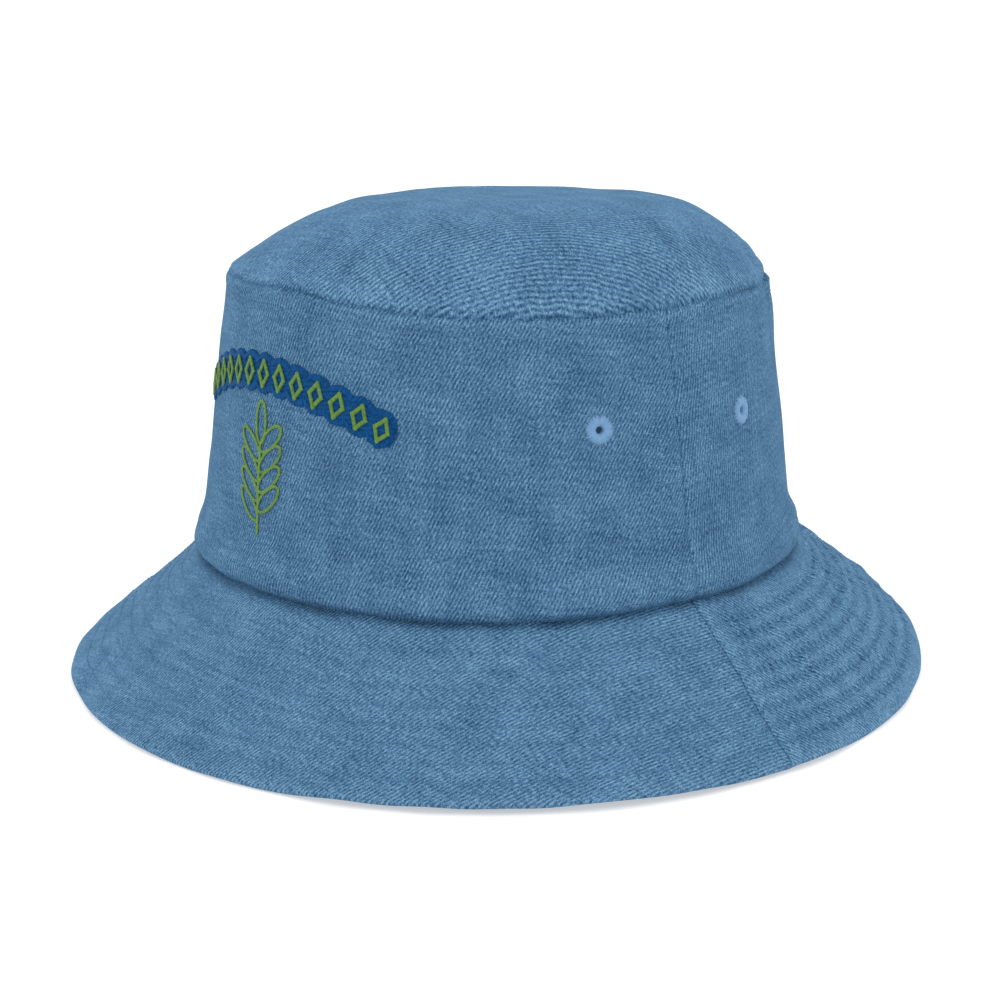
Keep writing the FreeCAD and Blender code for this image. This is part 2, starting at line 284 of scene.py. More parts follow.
def brim_relief(angle, slant, plain):
    """How far the quilted brim stands up from the plain one."""
    seam = seam_distance(angle)
    along, inset, strength = quilting(angle, slant)
    row = 0.5 + 0.5 * np.cos(TURN * (inset - QUILTING_EDGE) / QUILTING_PITCH)
    ripple = np.cos(TURN * (along + 0.2 * inset) / STITCH)
    relief = -strength * (0.22 * row ** 4 + 0.20 * row ** 2 * ripple)
    relief += 0.30 * strength * waves(plain, 31, 8) + 0.22 * waves(plain, 32, 24)
    relief += 0.22 * waves(plain * [1, 1, 0], 34, 26) * step(slant, 5, 30)
    relief += 0.30 * bell(seam - 2.5, 2.0) * (seam > 0) - 0.20 * bell(seam, 0.5)
    relief -= 0.22 * bell(seam, 1.6) * (seam < 0)
    relief += 0.20 * np.cos(TURN * slant / 9 + waves(plain, 33, 25)) * bell(seam, 5)
    relief += 0.35 * bell(inset - 4.0, 2.6) * step(np.sin(angle), -0.06, 0.10)
    return relief


def brim(angle, slant, lift=0.0):
    """A point on the brim, at a distance from the crown seam, lifted off its upper face."""
    angle, slant, lift = matched(angle, slant, lift)
    fall = droop(angle)
    share = np.clip(slant / BRIM_SLANT, 0, 1)
    root_z = SEAM_Z + foot_sag(angle) * (1 - share) ** 1.5
    root = np.stack([BASE_WIDE * np.cos(angle), BASE_LONG * np.sin(angle), root_z], -1)
    out = oval_normal(angle)
    up = np.array([0.0, 0.0, 1.0])
    along = out * np.cos(fall)[..., None] - up * np.sin(fall)[..., None]
    normal = out * np.sin(fall)[..., None] + up * np.cos(fall)[..., None]
    plain = root + along * slant[..., None]
    sway = 0.35 * waves(plain, 30, 95) * share ** 2
    flare = BRIM_FLARE * np.sin(angle) * 4 * share * (1 - share)
    relief = brim_relief(angle, slant, plain)
    return plain + normal * (flare + sway + relief + lift)[..., None]


def dome(x, y, lift=0.0):
    """A point on the top panel; x and y run from -1 to 1 across its oval."""
    x, y = matched(x, y)
    radius = np.minimum(np.hypot(x, y), 1)
    plain = np.stack([x * TOP_WIDE + TOP_SHIFT[0], y * TOP_LONG + TOP_SHIFT[1], 0 * x], -1)
    edge = (1 - radius) * TOP_LONG
    angle = np.arctan2(y, x)
    power = DOME_POWER[0] + DOME_POWER[1] * np.cos(angle) + DOME_POWER[2] * np.sin(angle)
    z = SEAM_Z + CROWN_HEIGHT + TOP_TILT[0] * x + TOP_TILT[1] * y
    z = z + DOME_RISE * (1 - radius ** power) * (1 + DOME_LEAN[0] * x + DOME_LEAN[1] * y)
    z = z + seam_jog(angle) * bell(edge, 10) + top_sag(angle) * bell(edge, TOP_SAG_REACH)
    tuck = seam_tuck(angle)
    z = z + TUCK_UP * tuck * bell(edge, 8)
    z = z + 0.20 * waves(plain, 40, 60) * step(edge, 0, 30)
    z = z + 0.16 * waves(plain * [1, 2.2, 1], 41, 34) * step(edge, 2, 22)
    z = z + 0.20 * waves(plain, 42, 13) * bell(edge - 6, 6)
    z = z + 0.16 * waves(plain, 43, 8) * bell(edge - 3, 4)
    z = z - 0.7 * bell(edge, 0.7)
    pull = 1 - (0.8 * bell(edge, 0.9) + 0.1 + TUCK_IN * tuck * bell(edge, 7)) / TOP_LONG
    plain = (plain - [*TOP_SHIFT, 0]) * pull[..., None] + [*TOP_SHIFT, 0]
    slope = DOME_RISE * power * radius ** (power - 1) / TOP_LONG
    way = np.stack([x, y], -1) / np.maximum(radius, 1e-6)[..., None]
    normal = unit(np.concatenate([way * slope[..., None], 1 + 0 * x[..., None]], -1))
    return plain * [1, 1, 0] + np.stack([0 * z, 0 * z, z], -1) + normal * lift


# ---- meshes
def add_object(name, data):
    """Puts an object with the given data in the scene."""
    made = bpy.data.objects.new(name, data)
    bpy.context.scene.collection.objects.link(made)
    return made


def make_object(name, points, faces, materials, face_slots=None, attributes=None, sharp=50):
    """A smooth mesh object from arrays in millimetres."""
    mesh = bpy.data.meshes.new(name)
    mesh.from_pydata((np.asarray(points) * MM).tolist(), [], faces)
    for material in materials:
        mesh.materials.append(material)
    if face_slots is not None:
        mesh.polygons.foreach_set("material_index", np.asarray(face_slots, np.int32))
    for key, values in (attributes or {}).items():
        values = np.asarray(values, np.float32)
        kind = "FLOAT" if values.ndim == 1 else "FLOAT_VECTOR"
        layer = mesh.attributes.new(key, kind, "POINT")
        layer.data.foreach_set("value" if values.ndim == 1 else "vector", values.ravel())
    mesh.shade_smooth()
    mesh.set_sharp_from_angle(angle=math.radians(sharp))
    return add_object(name, mesh)


def shell(name, outer, inner, cloth, materials, wrap=False, keep=None, wear_and_painted_light=None, quilt=None, rim_slot=0):
    """A closed piece of cloth between two grids of points, with an edge all round."""
    rows, columns = outer.shape[:2]
    cells_u = rows if wrap else rows - 1
    cells = np.ones((cells_u, columns - 1), bool) if keep is None else keep
    index = np.arange(rows * columns).reshape(rows, columns)
    index = np.vstack([index, index[:1]]) if wrap else index
    corners = np.stack([index[:-1, :-1], index[1:, :-1], index[1:, 1:], index[:-1, 1:]], -1)
    flat = corners[cells]
    back = flat[:, ::-1] + rows * columns
    padded = np.zeros((cells_u + 2, columns + 1), bool)
    padded[1:-1, 1:-1] = cells
    if wrap:
        padded[0, 1:-1] = cells[-1]
        padded[-1, 1:-1] = cells[0]
    sides = ((-1, 0, 3, 0), (1, 0, 1, 2), (0, -1, 0, 1), (0, 1, 2, 3))
    rims = []
    for du, dv, start, end in sides:
        near = padded[1 + du:padded.shape[0] - 1 + du, 1 + dv:padded.shape[1] - 1 + dv]
        open_side = corners[cells & ~near]
        first, second = open_side[:, start], open_side[:, end]
        rims.append(np.stack([second, first, first + rows * columns, second + rows * columns], -1))
    rim = np.concatenate(rims)
    faces = np.concatenate([flat, back, rim])
    slots = np.concatenate([np.zeros(len(flat)), np.ones(len(back)), np.full(len(rim), rim_slot)])
    slots = np.minimum(slots, len(materials) - 1)
    points = np.concatenate([outer.reshape(-1, 3), inner.reshape(-1, 3)])
    used = np.unique(faces)
    renumber = np.zeros(len(points), int)
    renumber[used] = np.arange(len(used))
    attributes = {"cloth": np.concatenate([cloth.reshape(-1, 3)] * 2)[used]}
    # Real wear and painted shade, shadow and highlight, kept on the points for the colour.
    if wear_and_painted_light is not None:
        attributes["wear_and_painted_light"] = np.concatenate([wear_and_painted_light.ravel()] * 2)[used]
    if quilt is not None:
        attributes["quilt"] = np.concatenate([np.stack(quilt, -1).reshape(-1, 3)] * 2)[used]
    return make_object(name, points[used], renumber[faces].tolist(), materials, slots, attributes)


def threads(name, lines, ups, width, height, material, sides=6, taper=0.35):
    """Short lengths of thread; lines holds each one's points and ups the cloth's outward side."""
    lines = np.asarray(lines, float)
    count, steps = lines.shape[:2]
    ups = np.broadcast_to(np.asarray(ups, float), lines.shape)
    ahead = unit(np.gradient(lines, axis=1))
    across = unit(np.cross(ahead, ups))
    above = np.cross(across, ahead)
    share = np.linspace(-1, 1, steps)
    thick = taper + (1 - taper) * np.sqrt(np.maximum(1 - np.abs(share) ** 6, 0))
    turn = np.arange(sides) * TURN / sides
    ring = (across[:, :, None] * (np.cos(turn)[:, None] * width / 2)
            + above[:, :, None] * (np.sin(turn)[:, None] * height / 2))
    points = lines[:, :, None] + ring * thick[None, :, None, None]
    index = np.arange(count * steps * sides).reshape(count, steps, sides)
    beside = np.roll(index, -1, axis=2)
    quads = np.stack([index[:, :-1], beside[:, :-1], beside[:, 1:], index[:, 1:]], -1)
    faces = quads.reshape(-1, 4)[:, ::-1].tolist()
    faces += index[:, 0, ::-1].tolist() + index[:, -1].tolist()
    length = np.concatenate([np.zeros((count, 1)),
                             np.cumsum(np.linalg.norm(np.diff(lines, axis=1), axis=2), axis=1)], 1)
    along = np.broadcast_to(length[:, :, None], index.shape)
    around = np.broadcast_to(turn / TURN, index.shape)
    which = np.broadcast_to(np.arange(count)[:, None, None] * THREAD_CHANGE, index.shape)
    cloth = np.stack([along, around, which], -1).reshape(-1, 3)
    return make_object(name, points.reshape(-1, 3), faces, [material], None,
                       {"cloth": cloth}, sharp=80)


def half_angles(half, count, inset=0.02):
    """Evenly spaced angles over one half of the hat, from one side seam to the other."""
    start, end, _ = HALVES[half]
    gap = inset / BASE_LONG
    return np.linspace(start + gap, end - gap, count)


# ---- materials
class Graph:
    """A material's nodes, made a few words at a time."""

    def __init__(self, name, roughness=0.9, sheen=0.0, sheen_roughness=0.5, specular=0.3):
        self.material = bpy.data.materials.new(name)
        self.material.use_nodes = True
        self.tree = self.material.node_tree
        self.shader = self.tree.nodes["Principled BSDF"]
        self.shader.inputs["Roughness"].default_value = roughness
        self.shader.inputs["Specular IOR Level"].default_value = specular
        self.shader.inputs["Sheen Weight"].default_value = sheen
        self.shader.inputs["Sheen Roughness"].default_value = sheen_roughness

    def node(self, kind, inputs=(), **settings):
        """Adds a node, sets what is given and returns its first output."""
        made = self.tree.nodes.new("ShaderNode" + kind)
        for key, value in settings.items():
            setattr(made, key, value)
        for key, value in dict(inputs).items():
            if isinstance(value, bpy.types.NodeSocket):
                self.tree.links.new(value, made.inputs[key])
            else:
                made.inputs[key].default_value = value
        return made.outputs[0]

    def math(self, operation, first, second=0.0):
        """The result of one sum."""
        return self.node("Math", {0: first, 1: second}, operation=operation)

    def kept(self, name):
        """A node that reads what the mesh's points keep under a name."""
        read = self.tree.nodes.new("ShaderNodeAttribute")
        read.attribute_name = name
        return read

    def place(self, name):
        """The three numbers kept on the mesh's points under a name."""
        read = self.kept(name)
        split = self.tree.nodes.new("ShaderNodeSeparateXYZ")
        self.tree.links.new(read.outputs["Vector"], split.inputs[0])
        return split.outputs[0], split.outputs[1], split.outputs[2]

    def factor(self, name):
        """A number kept on the mesh's points."""
        return self.kept(name).outputs["Fac"]

    def noise(self, x, y, z=0.0, detail=2.0):
        """A random value from 0 to 1 at a place."""
        place = self.node("CombineXYZ", {0: x, 1: y, 2: z})
        return self.node("TexNoise", {"Vector": place, "Scale": 1.0, "Detail": detail,
                                      "Roughness": 0.55})

    def grain(self, x, y, wide, tall, z, detail=2.0):
        """A random value from 0 to 1 with specks of about the given width and height."""
        return self.noise(self.math("DIVIDE", x, wide), self.math("DIVIDE", y, tall), z, detail)

    def swing(self, phase):
        """A wave from -1 to 1 that repeats each time the phase grows by one."""
        return self.math("SINE", self.math("MULTIPLY", phase, TURN))

    def mix(self, *parts):
        """The sum of (value, middle, weight) parts, each value counted from its middle."""
        total = 0.0
        for value, middle, weight in parts:
            centred = self.math("SUBTRACT", value, middle)
            total = self.math("ADD", total, self.math("MULTIPLY", centred, weight))
        return total

    def ramp(self, factor, *stops):
        """A colour from a row of (place, red, green, blue) stops."""
        made = self.tree.nodes.new("ShaderNodeValToRGB")
        self.tree.links.new(factor, made.inputs[0])
        elements = made.color_ramp.elements
        while len(elements) < len(stops):
            elements.new(0.5)
        for element, (place, red, green, blue) in zip(elements, stops):
            element.position = place
            element.color = (red, green, blue, 1)
        return made.outputs[0]

    def finish(self, colour, height=None, depth=0.0, strength=1.0):
        """Joins the colour and the relief to the shader and returns the material."""
        self.tree.links.new(colour, self.shader.inputs["Base Color"])
        if height is not None:
            bump = self.node("Bump", {"Strength": strength, "Distance": depth * MM, "Height": height})
            self.tree.links.new(bump, self.shader.inputs["Normal"])
        return self.material


# Tone offsets in the colour: the walls and the top are painted darker than the brim as painted shade, for
# how the light falls on them; the brim's back half is lighter.
WALL_TONE_AND_SHADE = -0.23
TOP_TONE_AND_SHADE = -0.10
BRIM_WASH = -0.08
BRIM_BACK_LIGHTER = 0.12
TWILL_PITCH = 1.06
TWILL_ANGLE = math.radians(66)


def quilting_dents(g):
    """The dents between stitches on the brim, from 0 to 1."""
    along, inset, strength = g.place("quilt")
    row = g.swing(g.math("ADD", g.math("DIVIDE", g.math("SUBTRACT", inset, QUILTING_EDGE),
                                       QUILTING_PITCH), 0.25))
    row = g.math("POWER", g.math("ADD", g.math("MULTIPLY", row, 0.5), 0.5), 1.2)
    slanted = g.math("ADD", along, g.math("MULTIPLY", inset, 0.2))
    ripple = g.swing(g.math("ADD", g.math("DIVIDE", slanted, STITCH), 0.25))
    ripple = g.math("ADD", g.math("MULTIPLY", ripple, 0.5), 0.5)
    return g.math("MULTIPLY", g.math("MULTIPLY", row, ripple), strength)


def denim(name, stops, contrast=1.0):
    """Washed twill denim: slanting wales, broken yarns, slubs and a clouded wash, with the mesh's real
    wear and painted shade, shadow and highlight.
    """
    g = Graph(name, roughness=0.95, sheen=0.25, sheen_roughness=0.45, specular=0.12)
    g.shader.inputs["Sheen Tint"].default_value = (0.16, 0.42, 0.72, 1)
    x, y, panel = g.place("cloth")
    cos, sin = math.cos(TWILL_ANGLE), math.sin(TWILL_ANGLE)
    along = g.math("ADD", g.math("MULTIPLY", x, cos), g.math("MULTIPLY", y, sin))
    across = g.math("SUBTRACT", g.math("MULTIPLY", x, sin), g.math("MULTIPLY", y, cos))
    drift = g.noise(g.math("MULTIPLY", along, 0.12), g.math("MULTIPLY", across, 0.12), panel)
    bent = g.math("ADD", across, g.math("MULTIPLY", drift, 1.1))
    wale = g.swing(g.math("DIVIDE", bent, TWILL_PITCH))
    yarn = g.grain(bent, along, 0.55, 1.25, panel, 3.0)
    speck = g.grain(x, y, 0.40, 0.40, panel, 2.0)
    slub = g.grain(x, y, 1.1, 22.0, panel, 2.0)
    weft = g.grain(x, y, 26.0, 1.3, panel, 2.0)
    cloud = g.grain(x, y, 12.0, 12.0, panel, 4.0)
    dent = quilting_dents(g)
    # Colour takes real wear and painted shade, shadow and highlight from the mesh, and darkens the
    # quilting dents partly as real wash wear and partly as painted shade in the valleys.
    value = g.mix((wale, 0.0, 0.155 * contrast), (yarn, 0.5, 1.38 * contrast),
                  (speck, 0.5, 1.45 * contrast), (slub, 0.5, 0.30), (weft, 0.5, 0.35),
                  (cloud, 0.5, 0.45), (g.factor("wear_and_painted_light"), 0.0, 0.5), (dent, 0.12, -0.30))
    colour = g.ramp(g.math("ADD", value, 0.5), *stops)
    height = g.mix((wale, 0.0, 0.40), (yarn, 0.5, 1.0), (speck, 0.5, 0.5), (dent, 0.0, -1.0))
    return g.finish(colour, height, 0.17, 0.8)


def plain_cloth(name, colour, shade, pitch=0.5, roughness=0.9, sheen=0.1):
    """A fine plain or twill weave in one colour, with its yarns as relief."""
    g = Graph(name, roughness=roughness, sheen=sheen, specular=0.25)
    x, y, panel = g.place("cloth")
    ends = g.swing(g.math("DIVIDE", x, pitch))
    picks = g.swing(g.math("DIVIDE", y, pitch))
    weave = g.math("MULTIPLY", ends, picks)
    fuzz = g.grain(x, y, 0.8, 0.8, panel, 3.0)
    cloud = g.grain(x, y, 12.0, 12.0, panel, 2.0)
    value = g.mix((weave, 0.0, 0.10), (fuzz, 0.5, 0.7), (cloud, 0.5, 0.5))
    ramp = g.ramp(g.math("ADD", value, 0.5), (0.1, *shade), (0.9, *colour))
    return g.finish(ramp, g.mix((weave, 0.0, 0.5), (fuzz, 0.5, 1.0)), 0.1, 0.6)


def felt(name, colour, shade):
    """A non-woven cloth of short fibres."""
    g = Graph(name, roughness=0.95, sheen=0.15, specular=0.2)
    x, y, panel = g.place("cloth")
    fibre = g.grain(x, y, 0.5, 2.5, panel, 4.0)
    other = g.grain(x, y, 2.5, 0.5, panel, 4.0)
    value = g.mix((fibre, 0.5, 0.7), (other, 0.5, 0.7))
    return g.finish(g.ramp(g.math("ADD", value, 0.5), (0.2, *shade), (0.8, *colour)), value, 0.1, 0.6)


def thread_material(name, colour, shade, roughness=0.6, sheen=0.08, specular=0.25, twist=0.55):
    """Twisted thread: slanting plies in relief and a little colour change from thread to thread."""
    g = Graph(name, roughness=roughness, sheen=sheen, specular=specular)
    along, around, which = g.place("cloth")
    ply = g.swing(g.math("ADD", g.math("DIVIDE", along, twist), around))
    change = g.noise(g.math("DIVIDE", along, 3.0), which, which, 2.0)
    value = g.mix((ply, 0.0, 0.14), (change, 0.5, 1.3))
    ramp = g.ramp(g.math("ADD", value, 0.5), (0.1, *shade), (0.9, *colour))
    return g.finish(ramp, ply, 0.05, 0.5)


DENIM_STOPS = (
    (0.02, 0.014, 0.048, 0.105),
    (0.30, 0.040, 0.110, 0.205),
    (0.55, 0.080, 0.186, 0.315),
    (0.98, 0.205, 0.370, 0.530),
)
REVERSE_STOPS = (
    (0.05, 0.130, 0.210, 0.300),
    (0.50, 0.300, 0.400, 0.480),
    (0.95, 0.560, 0.630, 0.680),
)


def make_materials():
    """Every finish on the hat, by the record's slot."""
    return {
        "denim": denim("denim_face", DENIM_STOPS),
        "denim_reverse": denim("denim_reverse", REVERSE_STOPS, 0.8),
        "interlining": felt("interlining", (0.78, 0.78, 0.74), (0.62, 0.62, 0.58)),
        "sweatband_twill": plain_cloth("sweatband_twill", (0.105, 0.215, 0.345), (0.045, 0.11, 0.20)),
        "seam_tape": plain_cloth("seam_tape", (0.66, 0.66, 0.62), (0.48, 0.48, 0.45)),
        "embroidery_backing": felt("embroidery_backing", (0.85, 0.85, 0.82), (0.68, 0.68, 0.65)),
        "blue_thread": thread_material("blue_thread", (0.002, 0.098, 0.300), (0.001, 0.034, 0.125),
                                       specular=0.12, sheen=0.0),
        "green_thread": thread_material("green_thread", (0.175, 0.335, 0.058), (0.062, 0.150, 0.022)),
        "eyelet_thread": thread_material("eyelet_thread", (0.205, 0.38, 0.60), (0.12, 0.26, 0.46)),
        "sewing_thread": thread_material("sewing_thread", (0.115, 0.245, 0.395), (0.045, 0.125, 0.235),
                                         roughness=0.9, sheen=0.0, specular=0.1),
        "label_satin": plain_cloth("label_satin", (0.90, 0.90, 0.88), (0.80, 0.80, 0.78),
                                   pitch=0.3, roughness=0.45, sheen=0.3),
    }


# ---- pieces
def settle(piece, node, body="hat"):
    """Puts a piece in the place of its CAD node."""
    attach(piece, body)
    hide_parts(node)
    return piece


def wall_cloth(angle, up, middle, panel):
    """The flat cut of a wall panel, a slightly arched strip, with its weave upright in the middle."""
    arch = (BASE_WIDE + BASE_LONG - TOP_WIDE - TOP_LONG) / 2 / CROWN_HEIGHT
    foot = (BASE_LONG + BASE_WIDE) / 2 / arch
    radius = foot - up * CROWN_HEIGHT
    spread = wrapped(angle - middle) * arch
    height = foot - radius * np.cos(spread)
    return np.stack([radius * np.sin(spread), height, panel + 0 * up], -1)


def brim_cloth(angle, slant, middle, panel):
    """The flat cut of a brim half, a ring segment, with its weave upright in the middle."""
    open_share = BRIM_REACH / BRIM_SLANT
    radius = (BASE_LONG + BASE_WIDE) / 2 / open_share + slant
    spread = wrapped(angle - middle) * open_share
    return np.stack([radius * np.sin(spread), -radius * np.cos(spread), panel + 0 * slant], -1)


EYELET_ANGLE = 0.300
EYELET_RADIUS = 4.6
EYELET_HOLE = 1.05
EYELET_STITCHES = 64
EYELET_TURN_RADIUS = BASE_LONG - 4
HOLE_SPARE = 0.6
EYELETS = {
    "eyelet_left_front": (LEFT_SEAM - EYELET_ANGLE + 0.003, 0.619),
    "eyelet_left_back": (LEFT_SEAM + EYELET_ANGLE + 0.030, 0.594),
    "eyelet_right_front": (RIGHT_SEAM + EYELET_ANGLE, 0.607),
    "eyelet_right_back": (RIGHT_SEAM - EYELET_ANGLE, 0.606),
}


def eyelet_offsets(angle, up, centre):
    """The distances round and up from an eyelet's middle."""
    return (wrapped(angle - centre[0]) * EYELET_TURN_RADIUS, (up - centre[1]) * CROWN_HEIGHT)


def punch(angles, ups):
    """Opens a round hole in a wall grid at each eyelet: the moved grid and the cells to keep."""
    hole = EYELET_HOLE + HOLE_SPARE
    keep = np.ones((angles.shape[0] - 1, angles.shape[1] - 1), bool)
    for centre in EYELETS.values():
        beside, above = eyelet_offsets(angles, ups, centre)
        away = np.hypot(beside, above)
        near = (away < hole + 0.75) & (away > 1e-6)
        inside = (away < hole + 0.1)
        keep &= ~(inside[:-1, :-1] & inside[1:, :-1] & inside[1:, 1:] & inside[:-1, 1:])
        scale = np.where(near, hole / np.maximum(away, 1e-6), 1)
        angles = angles + np.where(near, beside * (scale - 1) / EYELET_TURN_RADIUS, 0)
        ups = ups + np.where(near, above * (scale - 1) / CROWN_HEIGHT, 0)
    return angles, ups, keep


def make_walls(looks):
    """The two wall panels of the crown."""
    heights = np.concatenate([np.linspace(0, 5, 12), np.linspace(5, CROWN_HEIGHT - 2, 84)[1:],
                              np.linspace(CROWN_HEIGHT - 2, CROWN_HEIGHT, 9)[1:]]) / CROWN_HEIGHT
    for panel, (half, (_, _, middle)) in enumerate(HALVES.items()):
        angles, ups = grid(half_angles(half, 300), heights)
        angles, ups, keep = punch(angles, ups)
        outer = wall(angles, ups)
        inner = wall(angles, ups, -DENIM)
        drop = (1 - ups) * CROWN_HEIGHT
        # Painted shade darkens the whole wall through its tone offset; real wear lightens the roll under
        # the top seam, the hem roll and the side seam ridges.
        wear_and_painted_light = WALL_TONE_AND_SHADE + 0.10 * bell(drop - 1.4, 1.2) + 0.07 * bell(ups * CROWN_HEIGHT - 6, 5)
        wear_and_painted_light += 0.06 * bell(np.abs(seam_distance(angles)) - 1.6, 1.0)
        # Painted shade darkens the side seam and the top seam grooves.
        wear_and_painted_light -= 0.14 * bell(seam_distance(angles), 0.6) + 0.30 * bell(drop, 0.7)
        # Painted shadow darkens the wall's foot under its overhang at the brim seam.
        wear_and_painted_light -= 0.40 * bell(ups * CROWN_HEIGHT, 1.4)
        node = "crown_" + half
        piece = shell(node + "_cloth", outer, inner, wall_cloth(angles, ups, middle, panel),
                      [looks["denim"], looks["denim_reverse"]], keep=keep, wear_and_painted_light=wear_and_painted_light)
        settle(piece, node)


def make_dome(looks):
    """The top panel, made on a grid whose square edge is bent to the oval."""
    half = np.concatenate([np.linspace(0, 0.97, 88), np.linspace(0.97, 1, 10)[1:]])
    side = np.concatenate([-half[:0:-1], half])
    across, ahead = grid(side, side)
    x = across * np.sqrt(1 - ahead ** 2 / 2)
    y = ahead * np.sqrt(1 - across ** 2 / 2)
    cloth = np.stack([x * TOP_WIDE, y * TOP_LONG, 9 + 0 * x], -1)
    edge = (1 - np.hypot(x, y)) * TOP_LONG
    # Painted shade darkens the whole top through its tone offset and the seam groove at its edge; real
    # wear lightens the ridge just inside the seam.
    wear_and_painted_light = TOP_TONE_AND_SHADE + 0.10 * bell(edge - 2.5, 2.0) - 0.30 * bell(edge, 0.8)
    # Painted highlight: a lighter band about 12 mm inside the edge on the back and the wearer's right,
    # standing in for the sheen on the top's rim.
    wear_and_painted_light += 0.24 * bell(edge - 12, 10) * step(y - x, 0.1, 1.0)
    piece = shell("crown_top_cloth", dome(x, y), dome(x, y, -DENIM), cloth,
                  [looks["denim"], looks["denim_reverse"]], wear_and_painted_light=wear_and_painted_light)
    settle(piece, "crown_top")


def brim_slants(end):
    """Distances down the brim, closer together at the turned edge."""
    return np.concatenate([np.linspace(-2, end - 2, 66), np.linspace(end - 1.7, end, 8)])


def ply_depths(ply, slant):
    """How far a ply's upper and lower faces lie under the brim's upper face."""
    middle = DENIM + PLY_GAP + INTERLINING / 2
    whole = 2 * middle
    close = np.clip(1 - (BRIM_SLANT - slant) / middle, 0, 1)
    turned = middle * (1 - np.sqrt(1 - close ** 2)) * 0.96
    under = DENIM + (middle - 0.02 - DENIM) * close ** 2
    if ply == "upper":
        return turned, np.maximum(under, turned + 0.01)
    if ply == "lower":
        return np.minimum(whole - under, whole - turned - 0.01), whole - turned
    return DENIM + PLY_GAP + 0 * slant, DENIM + PLY_GAP + INTERLINING + 0 * slant


def make_brim(looks):
    """Three plies, each a front and a back half."""
    plies = (
        ("upper", BRIM_SLANT, 0.02, (looks["denim"], looks["denim_reverse"]), 0, BRIM_CUT_AREA),
        ("interlining", BRIM_SLANT - 4, 2.5, (looks["interlining"],), 0, INTERLINING_CUT_AREA),
        ("lower", BRIM_SLANT - 0.2, 0.02, (looks["denim_reverse"], looks["denim"]), 1, BRIM_CUT_AREA),
    )
    for panel, (half, (_, _, middle)) in enumerate(HALVES.items()):
        for ply, reach, gap, finish, rim_slot, area in plies:
            count = 640 if half == "back" and ply != "interlining" else 480
            angles, slants = grid(half_angles(half, count, gap), brim_slants(reach))
            root_drop = 0.8 * step(-slants, -3, 2)
            high, low = ply_depths(ply, slants)
            top = brim(angles, slants, -high - root_drop)
            bottom = brim(angles, slants, -low - root_drop)
            seam = seam_distance(angles)
            # Real wear lightens the turned edge; painted shade darkens the side seam groove.
            wear_and_painted_light = BRIM_WASH + 0.12 * bell(BRIM_SLANT - slants - 0.8, 1.4) - 0.10 * bell(seam, 0.5)
            # The back half is lighter; painted shadow darkens the brim's root under the crown's overhang.
            wear_and_painted_light += BRIM_BACK_LIGHTER * step(seam, 0, 30) - 0.45 * bell(slants, 2.0)
            wear_and_painted_light += 0.09 * bell(seam - 1.6, 1.2)
            node = "brim_%s_%s" % (ply, half)
            cloth = brim_cloth(angles, slants, middle, 4 + 2 * panel + rim_slot)
            piece = shell(node + "_cloth", top, bottom, cloth, list(finish), wear_and_painted_light=wear_and_painted_light,
                          quilt=quilting(angles, slants), rim_slot=rim_slot)
            settle(piece, node)


def ring(node, slot, looks, up_low, up_high, inner, outer, height_steps, sag):
    """A closed strip inside the crown wall."""
    angles, ups = grid(np.linspace(0, TURN, 420, endpoint=False),
                       np.linspace(up_low, up_high, height_steps))
    share = (ups - up_low) / (up_high - up_low)
    edge = 0.35 * bell(np.minimum(share, 1 - share), 0.08)
    ripple = sag * waves(wall_plain(angles, ups), 60, 26) * share
    far = wall(angles, ups, outer - np.abs(ripple) - edge)
    near = wall(angles, ups, inner - np.abs(ripple) + edge)
    cloth = np.stack([wrapped(angles) * BASE_LONG, ups * CROWN_HEIGHT, 20 + 0 * ups], -1)
    piece = shell(node + "_cloth", near[::-1], far[::-1], cloth[::-1], [looks[slot]], wrap=True)
    return settle(piece, node)


def patch(node, slot, looks, angles, ups, middle, panel):
    """A flat piece sewn to the inside of the crown wall."""
    inside = -DENIM - PLY_GAP
    cloth = np.stack([wrapped(angles - middle) * BASE_LONG, ups * CROWN_HEIGHT, panel + 0 * ups], -1)
    piece = shell(node + "_cloth", wall(angles, ups, inside - TAPE), wall(angles, ups, inside),
                  cloth, [looks[slot]])
    settle(piece, node)


def make_linings(looks):
    """The sweatband and the tapes and backing that show inside the crown."""
    cover = -DENIM - PLY_GAP - TAPE - PLY_GAP
    band = ring("sweatband", "sweatband_twill", looks, 0.003, SWEATBAND_HEIGHT / CROWN_HEIGHT,
                cover - SWEATBAND, cover, 40, 0.35)
    tape = ring("crown_seam_tape", "seam_tape", looks, 1 - SEAM_TAPE_CUT[1] / CROWN_HEIGHT,
                1 - 1 / CROWN_HEIGHT, cover - TAPE, cover, 14, 0.1)
    for node, centre in (("side_seam_tape_left", LEFT_SEAM), ("side_seam_tape_right", RIGHT_SEAM)):
        half = SIDE_TAPE_CUT[0] / 2 / BASE_LONG
        angles, ups = grid(np.linspace(centre - half, centre + half, 16), np.linspace(0.004, 0.985, 90))
        patch(node, "seam_tape", looks, angles, ups, centre, 30)
    low, high = node_box("embroidery_backing")
    half = math.asin(high[0] / BASE_LONG)
    bottom = (low[2] - wall_low[2]) / CROWN_HEIGHT
    top = (high[2] - wall_low[2]) / CROWN_HEIGHT
    angles, ups = grid(np.linspace(FRONT - half, FRONT + half, 130), np.linspace(bottom, top, 66))
    patch("embroidery_backing", "embroidery_backing", looks, angles, ups, FRONT, 40)


# ---- sewing threads
def row_of_stitches(place, length, lift, dip):
    """The points of one closed row of stitches; place gives a point for an angle and a lift."""
    count = int(length / STITCH)
    share = np.linspace(0.06, 0.94, 7)
    angles = (np.arange(count)[:, None] + share[None, :]) / count * TURN
    arch = lift - dip * (2 * share - 1) ** 4
    return place(angles, np.broadcast_to(arch, angles.shape))


